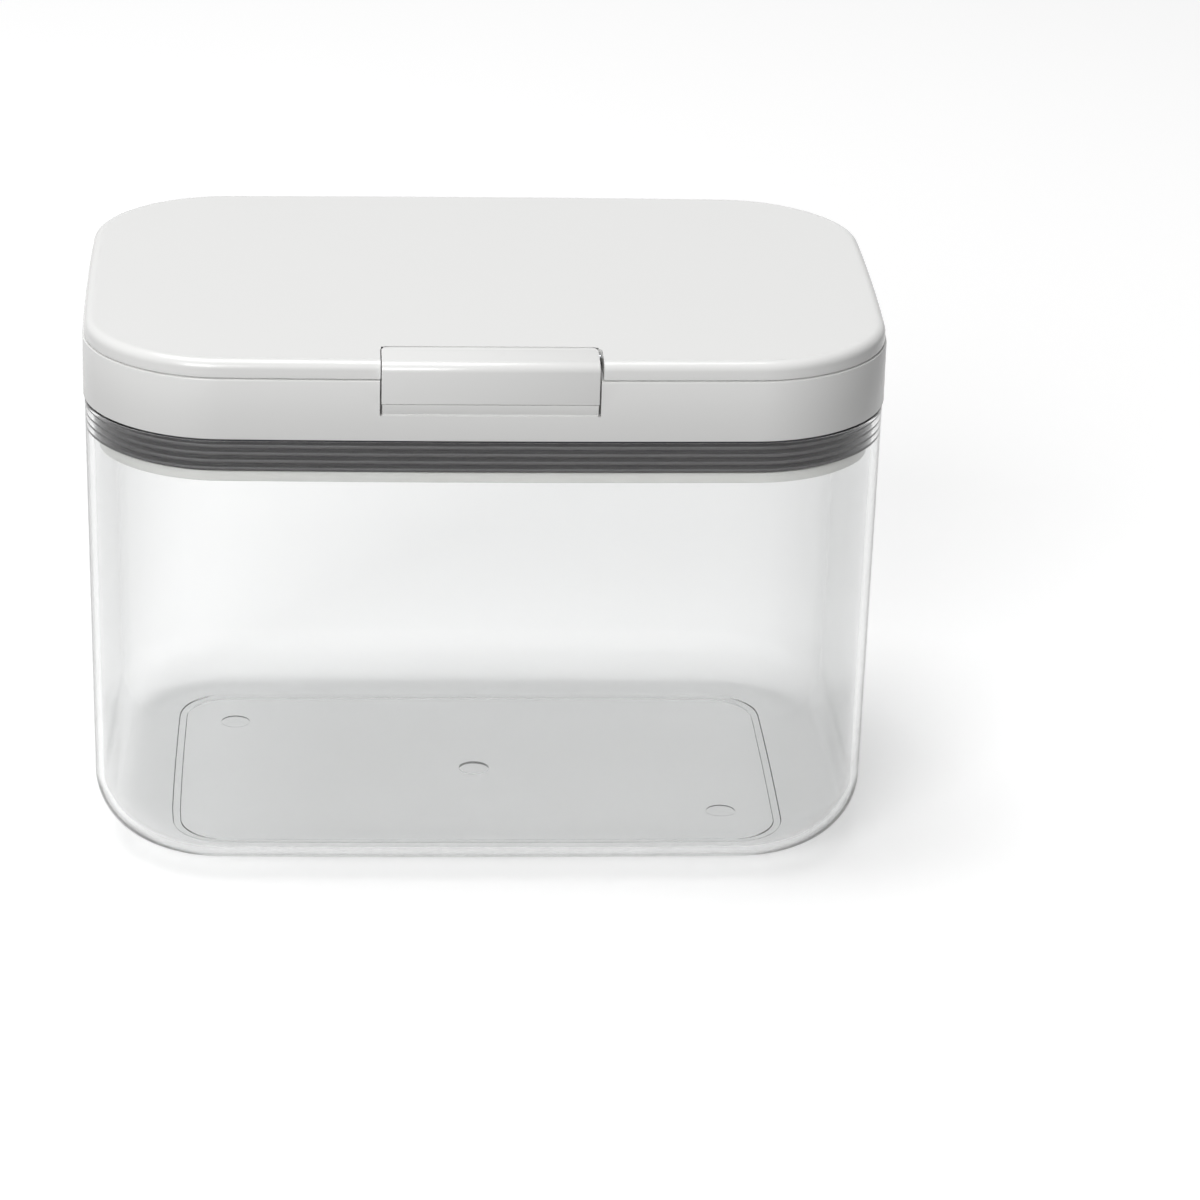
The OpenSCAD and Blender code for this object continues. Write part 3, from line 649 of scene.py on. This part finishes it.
class Shader:
    """A material that is built up node by node, on Object coordinates."""

    def __init__(self, name):
        self.material = bpy.data.materials.new(name)
        self.material.use_nodes = True
        self.tree = self.material.node_tree
        self.surface = self.tree.nodes["Principled BSDF"]
        self.output = self.tree.nodes["Material Output"]
        self.place = self.node("ShaderNodeTexCoord").outputs["Object"]

    def node(self, kind, **settings):
        made = self.tree.nodes.new(kind)
        for key, value in settings.items():
            setattr(made, key, value)
        return made

    def link(self, source, target):
        self.tree.links.new(source, target)

    def stretched(self, scale):
        """Object coordinates with their own scale along X, Y and Z."""
        mapping = self.node("ShaderNodeMapping")
        mapping.inputs["Scale"].default_value = scale
        self.link(self.place, mapping.inputs["Vector"])
        return mapping.outputs["Vector"]

    def noise(self, scale, detail=3.0, place=None):
        pattern = self.node("ShaderNodeTexNoise")
        pattern.inputs["Scale"].default_value = scale
        pattern.inputs["Detail"].default_value = detail
        self.link(place or self.place, pattern.inputs["Vector"])
        return pattern.outputs["Fac"]

    def spread(self, source, low, high):
        """A pattern's middle range as values from low to high."""
        limits = self.node("ShaderNodeMapRange")
        limits.inputs["From Min"].default_value = 0.3
        limits.inputs["From Max"].default_value = 0.7
        limits.inputs["To Min"].default_value = low
        limits.inputs["To Max"].default_value = high
        self.link(source, limits.inputs["Value"])
        return limits.outputs["Result"]

    def tint(self, source, colour, darker):
        """A colour that a pattern darkens, a little for random tone and to a tenth for the seal's painted
        groove shade.
        """
        ramp = self.node("ShaderNodeValToRGB")
        ramp.color_ramp.elements[0].position = 0.3
        ramp.color_ramp.elements[1].position = 0.7
        ramp.color_ramp.elements[0].color = [part * darker for part in colour] + [1]
        ramp.color_ramp.elements[1].color = [*colour, 1]
        self.link(source, ramp.inputs["Fac"])
        self.link(ramp.outputs["Color"], self.surface.inputs["Base Color"])

    def wave_up(self, first, pitch, top):
        """A pattern that repeats along Z, peaks at a first height and is zero above a top."""
        parts = self.node("ShaderNodeSeparateXYZ")
        self.link(self.place, parts.inputs["Vector"])
        turns = self.node("ShaderNodeMath", operation="MULTIPLY_ADD")
        turns.inputs[1].default_value = 2 * pi / pitch
        turns.inputs[2].default_value = -2 * pi * first / pitch
        self.link(parts.outputs["Z"], turns.inputs[0])
        wave = self.node("ShaderNodeMath", operation="COSINE")
        self.link(turns.outputs["Value"], wave.inputs[0])
        half = self.node("ShaderNodeMath", operation="MULTIPLY_ADD")
        half.inputs[1].default_value = 0.5
        half.inputs[2].default_value = 0.5
        self.link(wave.outputs["Value"], half.inputs[0])
        below = self.node("ShaderNodeMath", operation="LESS_THAN")
        below.inputs[1].default_value = top
        self.link(parts.outputs["Z"], below.inputs[0])
        kept = self.node("ShaderNodeMath", operation="MULTIPLY")
        self.link(half.outputs["Value"], kept.inputs[0])
        self.link(below.outputs["Value"], kept.inputs[1])
        return kept.outputs["Value"]

    def relief(self, source, depth):
        """Bump from a pattern, with its depth in metres."""
        bump = self.node("ShaderNodeBump")
        bump.inputs["Strength"].default_value = 1
        bump.inputs["Distance"].default_value = depth
        self.link(source, bump.inputs["Height"])
        self.link(bump.outputs["Normal"], self.surface.inputs["Normal"])


def moulded_plastic(name, colour, roughness, grain):
    """Moulded plastic: a faint cloudiness, an uneven gloss and a fine skin."""
    shader = Shader(name)
    shader.tint(shader.noise(6, 1.0), colour, 0.995)
    gloss = shader.spread(shader.noise(25, 1.0), roughness * 0.95, roughness * 1.05)
    shader.link(gloss, shader.surface.inputs["Roughness"])
    shader.relief(shader.noise(900, 2.0), grain)
    return shader.material


def clear_plastic():
    """Clear moulded plastic that tints what is behind it a little, darker where it is seen edge-on as
    painted shade, and lets lamps shine through.
    """
    shader = Shader("clear_plastic")
    shader.surface.inputs["Transmission Weight"].default_value = 1
    shader.surface.inputs["IOR"].default_value = 1.49
    shader.surface.inputs["Specular Tint"].default_value = (0.5, 0.5, 0.5, 1)
    # The face-on tint is the plastic's own; the darker tint towards an edge-on view is painted shade on the
    # container's sides and corners
    view = shader.node("ShaderNodeLayerWeight")
    tint = shader.node("ShaderNodeValToRGB")
    tint.color_ramp.elements[0].color = (0.95, 0.953, 0.952, 1)
    tint.color_ramp.elements[1].color = (0.76, 0.765, 0.765, 1)
    tint.color_ramp.elements[1].position = 0.65
    shader.link(view.outputs["Facing"], tint.inputs["Fac"])
    shader.link(tint.outputs["Color"], shader.surface.inputs["Base Color"])
    shader.link(shader.spread(shader.noise(40), 0.005, 0.02), shader.surface.inputs["Roughness"])
    passing = shader.node("ShaderNodeBsdfTransparent")
    passing.inputs["Color"].default_value = (0.64, 0.645, 0.645, 1)
    rays = shader.node("ShaderNodeLightPath")
    mix = shader.node("ShaderNodeMixShader")
    shader.link(rays.outputs["Is Shadow Ray"], mix.inputs["Fac"])
    shader.link(shader.surface.outputs["BSDF"], mix.inputs[1])
    shader.link(passing.outputs["BSDF"], mix.inputs[2])
    shader.link(mix.outputs["Shader"], shader.output.inputs["Surface"])
    return shader.material


def seal_rubber():
    """Grey rubber with a fine matt skin, with painted shade: much darker in the grooves between the ribs
    and on the lip above them.
    """
    shader = Shader("seal_rubber")
    # Painted shade: the rubber keeps its grey on the rib crests and is darkened to a tenth in the grooves
    # and on the lip above the ribs, near the rim
    painted_rib_shade = shader.wave_up(RIM_Z - RIB_FIRST, RIB_PITCH, RIM_Z - RIB_T / 2)
    shader.tint(painted_rib_shade, (0.092, 0.09, 0.092), 0.1)
    shader.link(shader.spread(shader.noise(400), 0.38, 0.5), shader.surface.inputs["Roughness"])
    shader.relief(shader.noise(2500, 2.0), 0.00001)
    return shader.material


def drawn_steel():
    """Steel wire and rod, drawn along X."""
    shader = Shader("drawn_steel")
    shader.surface.inputs["Metallic"].default_value = 1
    streaks = shader.noise(1.0, 4.0, shader.stretched((60, 4000, 4000)))
    shader.tint(streaks, (0.62, 0.63, 0.65), 0.85)
    shader.link(shader.spread(streaks, 0.22, 0.36), shader.surface.inputs["Roughness"])
    return shader.material


CLEAR = clear_plastic()
COVER_WHITE = moulded_plastic("gloss_white_plastic", (0.86, 0.86, 0.85), 0.2, 0.0000015)
BAND_WHITE = moulded_plastic("white_plastic", (0.84, 0.84, 0.83), 0.26, 0.000002)
# The frame and the cover's liner are white plastic like the band's; their darker base colour is painted
# shade for where they sit under the band and the cover
FRAME_WHITE_PAINTED_SHADE = moulded_plastic("satin_white_plastic_painted_shade", (0.63, 0.63, 0.61), 0.4, 0.000004)
RUBBER = seal_rubber()
STEEL = drawn_steel()


def dress(piece, material):
    piece.data.materials.clear()
    piece.data.materials.append(material)


def place(piece, body, node, slot, material):
    """Hands a modelled piece to its body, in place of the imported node."""
    dress(piece, material)
    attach(piece, body)
    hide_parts(node)


place(make_container(), "container", "container_body", "clear_plastic", CLEAR)
place(make_seal(), "lid", "lid_seal", "seal_rubber", RUBBER)
place(make_inner_frame(), "lid", "inner_frame", "light_plastic", FRAME_WHITE_PAINTED_SHADE)
place(make_band(), "lid", "lid_band", "white_plastic", BAND_WHITE)
place(make_cover(), "cover", "cover_shell", "white_gloss", COVER_WHITE)
place(make_tab(), "latch", "latch_tab", "white_gloss", COVER_WHITE)

# The liner takes the frame's white, darkened as painted shade
dress(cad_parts["cover_liner"], FRAME_WHITE_PAINTED_SHADE)
dress(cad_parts["cover_seal"], RUBBER)
for steel_node in ("hinge_rod", "latch_pin", "latch_spring_left", "latch_spring_right"):
    dress(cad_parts[steel_node], STEEL)

# Camera, as the photograph was taken
CAMERA_PLACE = (-58.4 * MM, -1500.7 * MM, 678.5 * MM)
PITCH = radians(22.239)
YAW = radians(3.785)
ROLL = radians(1.568)
FOCAL_PX = 4907.6
IMAGE_PX = 1200
SENSOR_MM = 36


def add_camera():
    turn = (Matrix.Rotation(-YAW, 3, "Z") @ Matrix.Rotation(pi / 2 - PITCH, 3, "X")
            @ Matrix.Rotation(ROLL, 3, "Z"))
    bpy.ops.object.camera_add(location=CAMERA_PLACE, rotation=turn.to_euler())
    camera = bpy.context.object
    camera.data.sensor_width = SENSOR_MM
    camera.data.lens = FOCAL_PX / IMAGE_PX * SENSOR_MM
    camera.data.clip_end = 20
    bpy.context.scene.camera = camera


def add_lamp(name, location, target, size, power):
    """A square softbox that faces its target."""
    aim = (Vector(target) - Vector(location)).to_track_quat("-Z", "Y")
    bpy.ops.object.light_add(type="AREA", location=location, rotation=aim.to_euler())
    lamp = bpy.context.object
    lamp.name = name
    lamp.data.size = size
    lamp.data.energy = power
    lamp.visible_transmission = False


def seen_rays(tree):
    """One for the rays that show the background: camera, glossy and transmission rays."""
    rays = tree.nodes.new("ShaderNodeLightPath")
    total = None
    for name in ("Is Camera Ray", "Is Glossy Ray", "Is Transmission Ray"):
        if total is None:
            total = rays.outputs[name]
            continue
        either = tree.nodes.new("ShaderNodeMath")
        either.operation = "MAXIMUM"
        tree.links.new(total, either.inputs[0])
        tree.links.new(rays.outputs[name], either.inputs[1])
        total = either.outputs["Value"]
    return total


WORLD_LIGHT = 0.06
FLOOR_GLOW = 0.36
FLOOR_SEEN = 0.9
FLOOR_BOUNCE = 0.36


def add_world():
    """White where it is seen, and a plain soft light elsewhere."""
    world = bpy.data.worlds.new("studio")
    world.use_nodes = True
    bpy.context.scene.world = world
    tree = world.node_tree
    background = tree.nodes["Background"]
    background.inputs["Color"].default_value = (1, 1, 1, 1)
    strength = tree.nodes.new("ShaderNodeMapRange")
    strength.inputs["To Min"].default_value = WORLD_LIGHT
    strength.inputs["To Max"].default_value = 1
    tree.links.new(seen_rays(tree), strength.inputs["Value"])
    tree.links.new(strength.outputs["Result"], background.inputs["Strength"])


def add_floor():
    """A pale floor that takes the object's shadow and is white elsewhere."""
    bpy.ops.mesh.primitive_plane_add(size=12, location=(0, 0, -0.0002))
    floor = bpy.context.object
    floor.name = "floor"
    material = bpy.data.materials.new("pale_floor")
    material.use_nodes = True
    tree = material.node_tree
    tree.nodes.remove(tree.nodes["Principled BSDF"])
    matt = tree.nodes.new("ShaderNodeBsdfDiffuse")
    glow = tree.nodes.new("ShaderNodeEmission")
    seen = seen_rays(tree)
    for target, unseen_value, seen_value in (
            (matt.inputs["Color"], FLOOR_BOUNCE, FLOOR_SEEN), (glow.inputs["Strength"], 0, FLOOR_GLOW)):
        value = tree.nodes.new("ShaderNodeMapRange")
        value.inputs["To Min"].default_value = unseen_value
        value.inputs["To Max"].default_value = seen_value
        tree.links.new(seen, value.inputs["Value"])
        tree.links.new(value.outputs["Result"], target)
    both = tree.nodes.new("ShaderNodeAddShader")
    tree.links.new(matt.outputs["BSDF"], both.inputs[0])
    tree.links.new(glow.outputs["Emission"], both.inputs[1])
    tree.links.new(both.outputs["Shader"], tree.nodes["Material Output"].inputs["Surface"])
    dress(floor, material)


add_camera()
add_world()
add_floor()
add_lamp("top_softbox", (-0.5, 0.2, 3.0), (0, 0, 0.1), 1.9, 57)
add_lamp("front_softbox", (-1.15, -2.75, 1.6), (0, 0, 0.1), 1.6, 64)

bpy.context.scene.view_settings.view_transform = "Standard"
